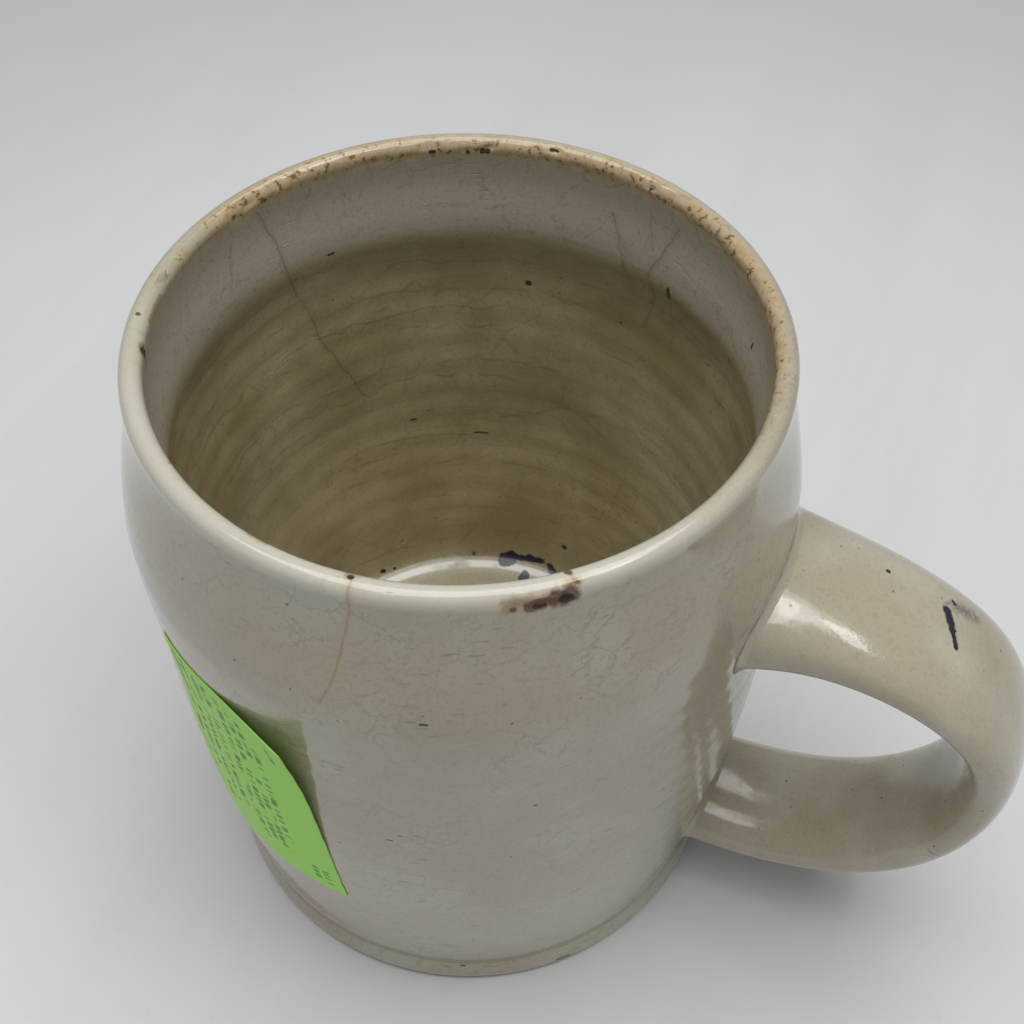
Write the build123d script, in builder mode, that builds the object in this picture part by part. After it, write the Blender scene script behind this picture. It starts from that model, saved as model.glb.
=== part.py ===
from build123d import *
from math import cos, exp, pi, radians, sin
import os

# Old stoneware shaving mug with a pulled strap handle and a paper price label, in millimetres.
# Origin: the mug's axis where the foot rests. +Z is up and the handle stands out along +X.

# ---- Driving dimensions -------------------------------------------------------------------
HEIGHT = 104.2            # table to the top of the lip
LIP_RADIUS = 42.0         # outside of the lip
LIP_THICKNESS = 3.0       # the lip is rolled to a half circle of this width
BELLY_RADIUS = 45.6       # widest ring, under the shoulder
BELLY_Z = 80.0
WAIST_RADIUS = 44.9       # top of the straight wall under the belly
WAIST_Z = 58.0
FOOT_RADIUS = 41.1        # flared foot bead
FOOT_BEAD = 1.8           # edge radius under the bead
GROOVE_RADIUS = 40.4      # turned groove above the foot bead
GROOVE_Z = 6.3
FOOT_RING_WIDTH = 6.0     # width of the unglazed ring that touches the table
FOOT_RECESS = 3.2         # depth of the hollow under the floor

FLOOR_Z = 17.2            # inside floor above the table
FLOOR_RADIUS = 29.5       # flat disc of the floor
FLOOR_STEP = 0.7          # raised ring round the floor disc
HEEL_RADIUS = 34.6        # inside wall where it leaves the floor's curve
HEEL_Z = 26.0
LEDGE_RADIUS = 38.4       # crest of the throwing ridge inside the shoulder
LEDGE_Z = 89.5
HOLLOW_RADIUS = 39.3      # hollows above and under that ridge
HOLLOW_UNDER_Z = 84.0
HOLLOW_OVER_Z = 97.0

HANDLE_REACH = 79.4       # axis of the mug to the middle of the strap, at its furthest
HANDLE_REACH_Z = 50.9
UPPER_ROOT = (41.2, 72.4)  # the strap's middle line starts inside the wall and is cut back to it
LOWER_ROOT = (38.0, 17.2)
UPPER_WALL_RADIUS = 45.4  # wall radius at each root
LOWER_WALL_RADIUS = 41.9
STRAP_WIDTH = 21.2
STRAP_THICKNESS = 7.4
UPPER_FLARE = (6.6, 9.4)  # extra width and thickness at the upper root
LOWER_FLARE = (-2.2, 3.6)
UPPER_FLARE_LENGTH = 0.10  # part of the strap's length over which a flare fades
LOWER_FLARE_LENGTH = 0.18
HALF_STATIONS = 7         # sections in each half of the strap

JOINT_FOOT = 2.0          # how far the slip fillet stands out round the strap, inside the wall
JOINT_EDGE = 0.5          # what is left of its width at its outer end
JOINT_HEIGHT = 1.7        # how far it climbs along the strap

LABEL_HEIGHT = 46.0
LABEL_WIDTH = 25.0
LABEL_THICKNESS = 0.25
LABEL_GAP = 0.06          # adhesive between the paper and the wall
LABEL_AZIMUTH = -93.6     # its lower right corner round the mug, 0 is the handle
LABEL_Z = 28.6            # that corner above the table
LABEL_TILT = 2.0          # it leans to the left by this much, in degrees
LABEL_LIFT = 2.8          # its upper right corner has come this far off the wall
LABEL_LIFT_START = 10.0   # height on the label where the lift starts
LABEL_LIFT_WIDTH = 15.0   # distance from the right edge over which it fades
LABEL_CELLS = 15          # spans each way of the sheet's surface


def strap_size(s):
    """Width and thickness of the strap at s, from 0 at the upper root to 1 at the lower root."""
    upper = exp(-s / UPPER_FLARE_LENGTH)
    lower = exp(-(1 - s) / LOWER_FLARE_LENGTH)
    width = STRAP_WIDTH + UPPER_FLARE[0] * upper + LOWER_FLARE[0] * lower
    thickness = STRAP_THICKNESS + UPPER_FLARE[1] * upper + LOWER_FLARE[1] * lower
    return width, thickness


# ---- Mug body: wall, floor and foot, thrown in one piece ------------------------------------
lip = LIP_THICKNESS / 2
with BuildPart() as mug_body:
    with BuildSketch(Plane.XZ):
        with BuildLine():
            bead = ThreePointArc(
                (FOOT_RADIUS - FOOT_BEAD, 0),
                (FOOT_RADIUS - FOOT_BEAD * (1 - sin(pi / 4)), FOOT_BEAD * (1 - cos(pi / 4))),
                (FOOT_RADIUS, FOOT_BEAD),
            )
            foot = Bezier(
                bead @ 1,
                (FOOT_RADIUS, GROOVE_Z - 2.4),
                (GROOVE_RADIUS, GROOVE_Z - 1.9),
                (GROOVE_RADIUS, GROOVE_Z),
            )
            wall = Bezier(
                foot @ 1,
                (GROOVE_RADIUS, GROOVE_Z + 4.0),
                (WAIST_RADIUS, WAIST_Z - 28.0),
                (WAIST_RADIUS, WAIST_Z),
            )
            belly = Bezier(
                wall @ 1,
                (WAIST_RADIUS, WAIST_Z + 8.0),
                (BELLY_RADIUS, BELLY_Z - 8.0),
                (BELLY_RADIUS, BELLY_Z),
            )
            shoulder = Bezier(
                belly @ 1,
                (BELLY_RADIUS, BELLY_Z + 8.0),
                (LIP_RADIUS, HEIGHT - 9.0),
                (LIP_RADIUS, HEIGHT - lip),
            )
            lip_roll = ThreePointArc(
                shoulder @ 1,
                (LIP_RADIUS - lip, HEIGHT),
                (LIP_RADIUS - LIP_THICKNESS, HEIGHT - lip),
            )
            inner = Spline(
                lip_roll @ 1,
                (HOLLOW_RADIUS, HOLLOW_OVER_Z),
                (LEDGE_RADIUS, LEDGE_Z),
                (HOLLOW_RADIUS, HOLLOW_UNDER_Z),
                (HOLLOW_RADIUS - 0.8, 70.0),
                (HOLLOW_RADIUS - 2.2, 48.0),
                (HEEL_RADIUS, HEEL_Z),
            )
            heel = Bezier(
                inner @ 1,
                (HEEL_RADIUS - 0.6, HEEL_Z - 4.0),
                (FLOOR_RADIUS + 4.0, FLOOR_Z + FLOOR_STEP),
                (FLOOR_RADIUS + 1.2, FLOOR_Z + FLOOR_STEP),
            )
            floor_ring = Bezier(
                heel @ 1,
                (FLOOR_RADIUS + 0.4, FLOOR_Z + FLOOR_STEP),
                (FLOOR_RADIUS + 0.6, FLOOR_Z),
                (FLOOR_RADIUS, FLOOR_Z),
            )
            Polyline(
                floor_ring @ 1,
                (0, FLOOR_Z),
                (0, FOOT_RECESS),
                (FOOT_RADIUS - FOOT_RING_WIDTH - FOOT_RECESS, FOOT_RECESS),
                (FOOT_RADIUS - FOOT_RING_WIDTH - FOOT_BEAD, 0),
                bead @ 0,
            )
        make_face()
    revolve(axis=Axis.Z)
mug_body.part.label = "mug_body"


# ---- Handle: one pulled strap, flared where it meets the wall -------------------------------
with BuildPart() as handle:
    with BuildLine(Plane.XZ, mode=Mode.PRIVATE):
        upper_half = Bezier(
            UPPER_ROOT,
            (UPPER_ROOT[0] + 18.9, UPPER_ROOT[1] + 2.5),
            (HANDLE_REACH, HANDLE_REACH_Z + 16.4),
            (HANDLE_REACH, HANDLE_REACH_Z),
        )
        lower_half = Bezier(
            upper_half @ 1,
            (HANDLE_REACH, HANDLE_REACH_Z - 11.8),
            (LOWER_ROOT[0] + 34.7, LOWER_ROOT[1] - 2.6),
            LOWER_ROOT,
        )
    for half, first in ((upper_half, 0), (lower_half, 1)):
        for station in range(first, HALF_STATIONS + 1):
            place = station / HALF_STATIONS
            strap_width, strap_thickness = strap_size((first + place) / 2)
            with BuildSketch(Plane(origin=half @ place, x_dir=(0, 1, 0), z_dir=half % place)):
                Ellipse(strap_width / 2, strap_thickness / 2)
    loft()
    add(mug_body.part, mode=Mode.SUBTRACT)
handle.part.label = "handle"


# ---- Slip joints: the clay fillets that lute the strap to the wall ---------------------------
def slip_joint(root, size, wall_radius):
    """Collar that tapers along one root of the strap, cut back to the wall and the strap."""
    root_plane = Plane(origin=(root[0], 0, root[1]), x_dir=(0, 1, 0), z_dir=(1, 0, 0))
    with BuildPart() as joint:
        with BuildSketch(root_plane):
            Ellipse(size[0] / 2 + JOINT_FOOT, size[1] / 2 + JOINT_FOOT)
        with BuildSketch(root_plane.offset(wall_radius + JOINT_HEIGHT - root[0])):
            Ellipse(size[0] / 2 + JOINT_EDGE, size[1] / 2 + JOINT_EDGE)
        loft()
        Cylinder(wall_radius + JOINT_HEIGHT, 2 * HEIGHT, mode=Mode.INTERSECT)
        add(mug_body.part, mode=Mode.SUBTRACT)
        add(handle.part, mode=Mode.SUBTRACT)
    return joint.part.solids().sort_by(SortBy.VOLUME)[-1]


upper_joint = slip_joint(UPPER_ROOT, strap_size(0.04), UPPER_WALL_RADIUS)
lower_joint = slip_joint(LOWER_ROOT, strap_size(0.95), LOWER_WALL_RADIUS)
upper_joint.label = "handle_upper_slip_joint"
lower_joint.label = "handle_lower_slip_joint"


# ---- Price label: a paper sheet that lies on the wall and lifts along its upper edge ---------
def wall_radius(z):
    """Outside radius of the wall at height z, read from the body's outer curves."""
    curve = wall if z < WAIST_Z else belly
    low, high = 0.0, 1.0
    for _ in range(30):
        middle = (low + high) / 2
        if (curve @ middle).Y < z:
            low = middle
        else:
            high = middle
    return (curve @ middle).X


def label_point(up, left):
    """Point of the paper's inner face, measured up and left from its lower right corner."""
    tilt = radians(LABEL_TILT)
    round_wall = -up * sin(tilt) - left * cos(tilt)
    z = LABEL_Z + up * cos(tilt) - left * sin(tilt)
    lift_up = max(0.0, (up - LABEL_LIFT_START) / (LABEL_HEIGHT - LABEL_LIFT_START))
    lift_in = max(0.0, 1 - left / LABEL_LIFT_WIDTH)
    radius = wall_radius(z) + LABEL_GAP + LABEL_LIFT * lift_up**2 * lift_in**2
    azimuth = radians(LABEL_AZIMUTH) + round_wall / WAIST_RADIUS
    return radius * cos(azimuth), radius * sin(azimuth), z


label_grid = [
    [label_point(LABEL_HEIGHT * i / LABEL_CELLS, LABEL_WIDTH * j / LABEL_CELLS)
     for j in range(LABEL_CELLS + 1)]
    for i in range(LABEL_CELLS + 1)
]
label_face = Face.make_surface_from_array_of_points(label_grid)
with BuildPart() as price_label:
    thicken(label_face, amount=LABEL_THICKNESS)
price_label.part.label = "price_label"


os.makedirs("parts", exist_ok=True)
export_step(mug_body.part, "parts/mug_body.step")
export_step(handle.part, "parts/handle.step")
export_step(upper_joint, "parts/handle_upper_slip_joint.step")
export_step(lower_joint, "parts/handle_lower_slip_joint.step")
export_step(price_label.part, "parts/price_label.step")
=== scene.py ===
import logging
from dataclasses import dataclass
from enum import Enum
from math import cos, degrees, pi, radians, sin
from typing import Sequence, Union

import bpy
import numpy as np
from mathutils import Matrix, Vector


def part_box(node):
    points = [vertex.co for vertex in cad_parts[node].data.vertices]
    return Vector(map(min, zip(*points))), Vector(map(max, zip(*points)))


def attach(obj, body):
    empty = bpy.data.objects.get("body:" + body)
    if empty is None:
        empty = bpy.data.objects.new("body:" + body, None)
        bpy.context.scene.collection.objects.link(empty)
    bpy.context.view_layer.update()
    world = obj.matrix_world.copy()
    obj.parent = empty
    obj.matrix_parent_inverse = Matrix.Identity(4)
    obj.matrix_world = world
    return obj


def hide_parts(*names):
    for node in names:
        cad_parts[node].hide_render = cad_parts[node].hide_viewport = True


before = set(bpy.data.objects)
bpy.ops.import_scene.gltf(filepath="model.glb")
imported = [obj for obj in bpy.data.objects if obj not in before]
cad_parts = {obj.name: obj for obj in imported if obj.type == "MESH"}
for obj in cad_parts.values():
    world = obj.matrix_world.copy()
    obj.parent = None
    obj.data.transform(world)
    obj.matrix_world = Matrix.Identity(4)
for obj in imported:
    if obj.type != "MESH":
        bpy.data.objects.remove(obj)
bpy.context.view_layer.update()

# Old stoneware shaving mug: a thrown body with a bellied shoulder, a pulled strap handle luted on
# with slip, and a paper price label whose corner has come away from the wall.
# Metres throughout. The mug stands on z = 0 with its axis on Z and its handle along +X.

LOG = logging.getLogger("shaving_mug")
MM = 0.001
Array = np.ndarray
Colour = tuple[float, float, float]


# ---- Curves and noise, worked out as whole arrays --------------------------------------------

def bezier(points: Sequence[tuple[float, float]], count: int) -> Array:
    """Cubic curve: the four points weighted by (1-t)^3, 3t(1-t)^2, 3t^2(1-t) and t^3.

    Args:
        points: start, its handle, the end's handle, and the end.
        count: samples along the curve, both ends included.

    Returns:
        Array of (count, 2).
    """
    t = np.linspace(0.0, 1.0, count)[:, None]
    a, b, c, d = (np.asarray(p, float) for p in points)
    return (1 - t) ** 3 * a + 3 * (1 - t) ** 2 * t * b + 3 * (1 - t) * t ** 2 * c + t ** 3 * d


def natural_spline(points: Sequence[tuple[float, float]], count: int) -> Array:
    """Natural cubic spline through points, over their chord length.

    The second derivatives m solve h0*m0 + 2(h0+h1)*m1 + h1*m2 = 6*(change of slope), with none at
    either end; each span is then the usual cubic in its two end values and second derivatives.

    Args:
        points: places that the curve passes through.
        count: samples along the curve, both ends included.

    Returns:
        Array of (count, 2).
    """
    p = np.asarray(points, float)
    chord = np.hypot(*np.diff(p, axis=0).T)
    x = np.concatenate([[0.0], np.cumsum(chord)])
    n = len(p)
    system = np.eye(n)
    rows = np.arange(1, n - 1)
    system[rows, rows - 1] = chord[:-1]
    system[rows, rows] = 2 * (chord[:-1] + chord[1:])
    system[rows, rows + 1] = chord[1:]
    slope = np.diff(p, axis=0) / chord[:, None]
    turn = np.zeros_like(p)
    turn[1:-1] = 6 * np.diff(slope, axis=0)
    bend = np.linalg.solve(system, turn)
    at = np.linspace(0.0, x[-1], count)
    k = np.clip(np.searchsorted(x, at, side="right") - 1, 0, n - 2)
    h = chord[k][:, None]
    left, right = (at - x[k])[:, None], (x[k + 1] - at)[:, None]
    return (bend[k] * right ** 3 + bend[k + 1] * left ** 3) / (6 * h) \
        + (p[k] / h - bend[k] * h / 6) * right + (p[k + 1] / h - bend[k + 1] * h / 6) * left


def smoothstep(low: float, high: float, x: Array) -> Array:
    """0 below low, 1 above high, and 3t^2 - 2t^3 between."""
    t = np.clip((x - low) / (high - low), 0.0, 1.0)
    return t * t * (3 - 2 * t)


class LatticeNoise:
    """Smooth noise: random values on a repeating cubic lattice, blended by smoothstep."""

    SIDE = 32

    def __init__(self, seed: int) -> None:
        """Draws the lattice's values from a seeded generator."""
        self.values = np.random.default_rng(seed).uniform(-1.0, 1.0, (self.SIDE,) * 3)

    def __call__(self, points: Array, cell: float) -> Array:
        """Noise from -1 to 1.

        Args:
            points: places, (..., 3).
            cell: side of one lattice cell, in the same unit.

        Returns:
            One value for each place.
        """
        q = points / cell
        base = np.floor(q).astype(int)
        t = q - base
        t = t * t * (3 - 2 * t)
        total = np.zeros(points.shape[:-1])
        for corner in range(8):
            step = np.array([corner & 1, corner >> 1 & 1, corner >> 2 & 1])
            weight = np.prod(np.where(step, t, 1 - t), axis=-1)
            i, j, k = np.moveaxis((base + step) % self.SIDE, -1, 0)
            total += weight * self.values[i, j, k]
        return total


# ---- Meshes from grids -----------------------------------------------------------------------

@dataclass
class Grid:
    """A surface over two parameters: points[i, j], which may close on itself or in end caps.

    The texture coordinates have one more row or column than the points where the grid wraps, so
    that the last cell runs on instead of back.
    """

    points: Array
    uv: Array
    wrap_rows: bool = False
    wrap_columns: bool = True
    caps: bool = False

    def build(self, name: str) -> bpy.types.Object:
        """Makes the mesh object, with faces outwards and smooth shading.

        Args:
            name: the piece's name.

        Returns:
            The object, at the origin.
        """
        rows, columns = self.points.shape[:2]
        i = np.arange(rows if self.wrap_rows else rows - 1)
        j = np.arange(columns if self.wrap_columns else columns - 1)
        i, j = (a.ravel() for a in np.meshgrid(i, j, indexing="ij"))
        i2, j2 = i + 1, j + 1
        quads = np.stack([i % rows * columns + j % columns, i % rows * columns + j2 % columns,
                          i2 % rows * columns + j2 % columns, i2 % rows * columns + j % columns], -1)
        corners = np.stack([self.uv[i, j], self.uv[i, j2], self.uv[i2, j2], self.uv[i2, j]], 1)
        places = self.points.reshape(-1, 3)
        loops, uvs = quads.ravel(), corners.reshape(-1, 2)
        sizes = np.full(len(quads), 4)
        if self.caps:
            around = np.arange(columns)
            after = (around + 1) % columns
            for end, flip in ((0, False), (rows - 1, True)):
                centre = len(places)
                places = np.vstack([places, self.points[end].mean(0)])
                ring = (after, around) if flip is False else (around, after)
                fan = np.stack([ring[0] + end * columns, ring[1] + end * columns,
                                np.full(columns, centre)], -1)
                loops = np.concatenate([loops, fan.ravel()])
                edge = self.uv[end, :columns]
                middle = np.stack([edge[:, 0], edge[:, 1]], -1)
                uvs = np.vstack([uvs, np.stack([edge, edge, middle], 1).reshape(-1, 2)])
                sizes = np.concatenate([sizes, np.full(columns, 3)])
        mesh = bpy.data.meshes.new(name)
        mesh.vertices.add(len(places))
        mesh.vertices.foreach_set("co", places.astype(np.float32).ravel())
        mesh.loops.add(len(loops))
        mesh.loops.foreach_set("vertex_index", loops.astype(np.int32))
        mesh.polygons.add(len(sizes))
        mesh.polygons.foreach_set("loop_start", np.concatenate([[0], np.cumsum(sizes)[:-1]]).astype(np.int32))
        mesh.update(calc_edges=True)
        mesh.uv_layers.new(name="surface").uv.foreach_set("vector", uvs.astype(np.float32).ravel())
        mesh.validate()
        mesh.shade_smooth()
        if (self.caps or self.wrap_rows) and signed_volume(places, quads) < 0:
            mesh.flip_normals()
        piece = bpy.data.objects.new(name, mesh)
        bpy.context.collection.objects.link(piece)
        return piece


def signed_volume(places: Array, quads: Array) -> float:
    """Sum of the tetrahedra from the origin to each quad; positive where faces point outwards."""
    a, b, c, d = (places[quads[:, k]] for k in range(4))
    return float((np.cross(a, b) * c).sum() + (np.cross(a, c) * d).sum())


# ---- Shader maths ----------------------------------------------------------------------------

Number = Union[float, "Value"]


class Value:
    """A number worked out by a shader; Python operators on it add Math nodes."""

    def __init__(self, shader: "Shader", socket: bpy.types.NodeSocket) -> None:
        """Wraps one output socket."""
        self.shader, self.socket = shader, socket

    def _math(self, operation: str, *inputs: Number) -> "Value":
        """Adds one Math node on the given inputs."""
        node = self.shader.node("ShaderNodeMath", {"operation": operation}, dict(enumerate(inputs)))
        return Value(self.shader, node.outputs[0])

    def __add__(self, other: Number) -> "Value":
        """self + other."""
        return self._math("ADD", self, other)

    __radd__ = __add__

    def __sub__(self, other: Number) -> "Value":
        """self - other."""
        return self._math("SUBTRACT", self, other)

    def __rsub__(self, other: Number) -> "Value":
        """other - self."""
        return self._math("SUBTRACT", other, self)

    def __mul__(self, other: Number) -> "Value":
        """self * other."""
        return self._math("MULTIPLY", self, other)

    __rmul__ = __mul__

    def __truediv__(self, other: Number) -> "Value":
        """self / other."""
        return self._math("DIVIDE", self, other)

    def __pow__(self, other: Number) -> "Value":
        """self ** other."""
        return self._math("POWER", self, other)

    def __abs__(self) -> "Value":
        """Absolute value."""
        return self._math("ABSOLUTE", self)

    def high(self, other: Number) -> "Value":
        """The larger of two."""
        return self._math("MAXIMUM", self, other)

    def low(self, other: Number) -> "Value":
        """The smaller of two."""
        return self._math("MINIMUM", self, other)

    def angle(self, x: Number) -> "Value":
        """Angle of the point (x, self), in radians."""
        return self._math("ARCTAN2", self, x)

    def wave(self) -> "Value":
        """Sine."""
        return self._math("SINE", self)

    def step(self, start: Number, end: Number) -> "Value":
        """Smooth step from 0 at start to 1 at end; start may be the larger."""
        node = self.shader.node("ShaderNodeMapRange", {"interpolation_type": "SMOOTHSTEP"},
                                {"Value": self, "From Min": start, "From Max": end})
        return Value(self.shader, node.outputs["Result"])


class Shader:
    """One material and the few ways in which this scene adds nodes to it."""

    def __init__(self, name: str) -> None:
        """Starts a material with a Principled shader."""
        self.material = bpy.data.materials.new(name)
        self.material.use_nodes = True
        self.tree = self.material.node_tree
        self.surface = self.tree.nodes["Principled BSDF"]
        place = self.node("ShaderNodeTexCoord", {}, {})
        self.place = place.outputs["Object"]
        self.uv = place.outputs["UV"]

    def node(self, kind: str, settings: dict, inputs: dict) -> bpy.types.Node:
        """Adds a node.

        Args:
            kind: the node's type.
            settings: properties, set before the inputs.
            inputs: socket name or number to a Value, a socket or a constant.

        Returns:
            The node.
        """
        node = self.tree.nodes.new(kind)
        for key, value in settings.items():
            setattr(node, key, value)
        for key, value in inputs.items():
            self.feed(node.inputs[key], value)
        return node

    def feed(self, socket: bpy.types.NodeSocket, value: object) -> None:
        """Links a Value or a socket into socket, or sets a constant."""
        if isinstance(value, Value):
            value = value.socket
        if isinstance(value, bpy.types.NodeSocket):
            self.tree.links.new(value, socket)
        elif socket.type == "RGBA" and len(value) == 3:
            socket.default_value = (*value, 1.0)
        else:
            socket.default_value = value

    def parts(self, vector: bpy.types.NodeSocket) -> tuple[Value, Value, Value]:
        """The three numbers of a vector."""
        node = self.node("ShaderNodeSeparateXYZ", {}, {0: vector})
        return tuple(Value(self, out) for out in node.outputs)

    def scaled(self, vector: bpy.types.NodeSocket, scale: Colour) -> bpy.types.NodeSocket:
        """A vector multiplied part by part."""
        return self.node("ShaderNodeVectorMath", {"operation": "MULTIPLY"}, {0: vector, 1: scale}).outputs[0]

    def noise(self, cell: float, detail: float = 2.0, rough: float = 0.5, twist: float = 0.0,
              stretch: Colour = (1.0, 1.0, 1.0), vector: bpy.types.NodeSocket = None) -> Value:
        """Fractal noise from 0 to 1.

        Args:
            cell: size of its largest features, in metres.
            detail: octaves.
            rough: weight of the finer octaves.
            twist: how much it folds over itself.
            stretch: multiplies the place first, so that features shrink along that axis.
            vector: place to read; the piece's own place if left out.

        Returns:
            The noise.
        """
        at = self.scaled(vector or self.place, stretch)
        node = self.node("ShaderNodeTexNoise", {}, {"Vector": at, "Scale": 1 / cell, "Detail": detail,
                                                    "Roughness": rough, "Distortion": twist})
        return Value(self, node.outputs[0])

    def cells(self, vector: bpy.types.NodeSocket, cell: float,
              randomness: float = 1.0) -> tuple[Value, bpy.types.NodeSocket]:
        """Voronoi cells.

        Args:
            vector: place to read.
            cell: mean cell size, in the vector's unit.
            randomness: 0 for a square grid, 1 for fully scattered cells.

        Returns:
            Distance from each cell's point, in cells, and each cell's random colour.
        """
        node = self.node("ShaderNodeTexVoronoi", {"feature": "F1"},
                         {"Vector": vector, "Scale": 1 / cell, "Randomness": randomness})
        return Value(self, node.outputs["Distance"]), node.outputs["Color"]

    def crazing(self, cell: float) -> Value:
        """Net of fine crackle lines, 1 on a line, worked out from the edges of warped cells."""
        warp = self.noise(cell * 0.5, 2.0, 0.6)
        at = self.vector_maths("ADD", "Vector", self.place, self.vector_maths(
            "MULTIPLY", "Vector", self.node("ShaderNodeCombineXYZ", {}, {0: warp, 1: warp, 2: warp}).outputs[0],
            (cell * 0.9,) * 3))
        node = self.node("ShaderNodeTexVoronoi", {"feature": "DISTANCE_TO_EDGE"}, {"Vector": at, "Scale": 1 / cell})
        return Value(self, node.outputs["Distance"]).step(0.045, 0.010)

    def mix(self, factor: Number, a: object, b: object, blend: str = "MIX") -> bpy.types.NodeSocket:
        """Mix of two colours."""
        node = self.node("ShaderNodeMix", {"data_type": "RGBA", "blend_type": blend, "clamp_factor": True},
                         {0: factor, 6: a, 7: b})
        return node.outputs[2]

    def vector_maths(self, operation: str, output: str, *inputs: object) -> bpy.types.NodeSocket:
        """One Vector Math node's output."""
        return self.node("ShaderNodeVectorMath", {"operation": operation}, dict(enumerate(inputs))).outputs[output]

    def distance(self, blot: "Blot") -> Value:
        """Distance from a blot's middle line.

        With p the place, a and b the line's ends and d = b - a, the nearest point of the line is
        a + d * t, where t is (p - a).d / d.d kept between 0 and 1.

        Args:
            blot: the blot.

        Returns:
            The distance, in metres.
        """
        away = self.vector_maths("SUBTRACT", "Vector", self.place, blot.start)
        d = Vector(blot.end) - Vector(blot.start)
        if d.length > 0.0:
            along = Value(self, self.vector_maths("DOT_PRODUCT", "Value", away, tuple(d / d.length_squared)))
            at = along.high(0.0).low(1.0)
            reach = self.node("ShaderNodeVectorMath", {"operation": "SCALE"}, {0: tuple(d), "Scale": at}).outputs[0]
            away = self.vector_maths("SUBTRACT", "Vector", away, reach)
        return Value(self, self.vector_maths("LENGTH", "Value", away))

    def blots(self, blots: Sequence["Blot"], fray: Value, hard: float = 0.75) -> Value:
        """Union of blots whose edges are broken by noise.

        Args:
            blots: the blots.
            fray: noise from -1 to 1.
            hard: the part of the radius where a blot is still whole.

        Returns:
            1 inside any blot, 0 outside.
        """
        total = None
        for blot in blots:
            near = self.distance(blot) / blot.radius + fray * blot.ragged
            mask = near.step(1.08, hard)
            total = mask if total is None else total.high(mask)
        return total

    def bump(self, height: Value, depth: float, below: bpy.types.NodeSocket = None) -> bpy.types.NodeSocket:
        """Bump from a height, depth metres for a height of 1, on top of an earlier bump."""
        inputs = {"Height": height, "Distance": depth, "Strength": 1.0}
        if below is not None:
            inputs["Normal"] = below
        return self.node("ShaderNodeBump", {}, inputs).outputs[0]

    def finish(self, **sockets: object) -> bpy.types.Material:
        """Feeds the Principled shader's sockets, by name with _ for a space."""
        for key, value in sockets.items():
            self.feed(self.surface.inputs[key.replace("_", " ")], value)
        return self.material


def tone(red: int, green: int, blue: int) -> Colour:
    """Linear colour of a display colour given from 0 to 255."""
    parts = np.array([red, green, blue]) / 255.0
    linear = np.where(parts <= 0.04045, parts / 12.92, ((parts + 0.055) / 1.055) ** 2.4)
    return tuple(float(x) for x in linear)


# ---- Marks left by use, in the mug's own terms -----------------------------------------------

def round_place(azimuth: float, z: float, radius: float) -> Colour:
    """A place in metres, from degrees round the mug, and millimetres up and out from its axis."""
    a = radians(azimuth)
    return radius * cos(a) * MM, radius * sin(a) * MM, z * MM


@dataclass(frozen=True)
class Blot:
    """A blot with round ends: the middles of its two ends and its radius, in metres, and how
    ragged its edge is."""

    start: Colour
    end: Colour
    radius: float
    ragged: float = 0.5

    @classmethod
    def on_wall(cls, azimuth: float, z: float, radius: float, size: float, run: float = 0.0,
                rise: float = 0.0, ragged: float = 0.5) -> "Blot":
        """A blot on a turned surface.

        Args:
            azimuth: degrees round the mug.
            z: height, in millimetres.
            radius: distance of the surface from the axis, in millimetres.
            size: the blot's own radius, in millimetres.
            run: half of its spread round the mug, in millimetres.
            rise: how much higher its second end is than its middle, in millimetres.
            ragged: how ragged its edge is.

        Returns:
            The blot.
        """
        half = degrees(run / radius)
        return cls(round_place(azimuth - half, z - rise, radius), round_place(azimuth + half, z + rise, radius),
                   size * MM, ragged)

    @classmethod
    def at(cls, start: Colour, end: Colour, size: float, ragged: float = 0.5) -> "Blot":
        """A blot between two places given in millimetres."""
        return cls(tuple(v * MM for v in start), tuple(v * MM for v in end), size * MM, ragged)


@dataclass(frozen=True)
class Hairline:
    """A crack through the glaze: (azimuth, height) stations from one end to the other, in degrees
    and millimetres, its width in millimetres, and how dark it is."""

    stations: tuple[tuple[float, float], ...]
    width: float
    strength: float = 1.0


@dataclass(frozen=True)
class Chip:
    """A flake off the lip: azimuth in degrees, distance from the lip's crest along the surface
    (negative inside), length round the lip, height and depth, in millimetres."""

    azimuth: float
    across: float
    length: float
    height: float
    depth: float


LIP_CHIPS = (
    Chip(-59.6, 2.3, 2.6, 1.5, 0.45), Chip(-56.4, 2.4, 3.2, 1.6, 0.5), Chip(-52.2, 2.2, 3.4, 2.0, 0.6),
    Chip(-155.0, -2.1, 1.0, 2.6, 0.6), Chip(-162.7, -0.4, 1.2, 0.9, 0.25), Chip(106.9, -2.2, 2.2, 1.4, 0.55),
    Chip(110.4, -2.4, 1.0, 1.0, 0.4), Chip(92.5, -1.2, 1.8, 1.0, 0.4), Chip(70.0, -1.8, 1.4, 0.9, 0.35),
    Chip(43.3, -1.2, 1.6, 0.8, 0.3), Chip(160.0, -2.0, 3.2, 1.0, 0.3), Chip(26.0, -2.0, 2.2, 0.9, 0.3),
)

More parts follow.
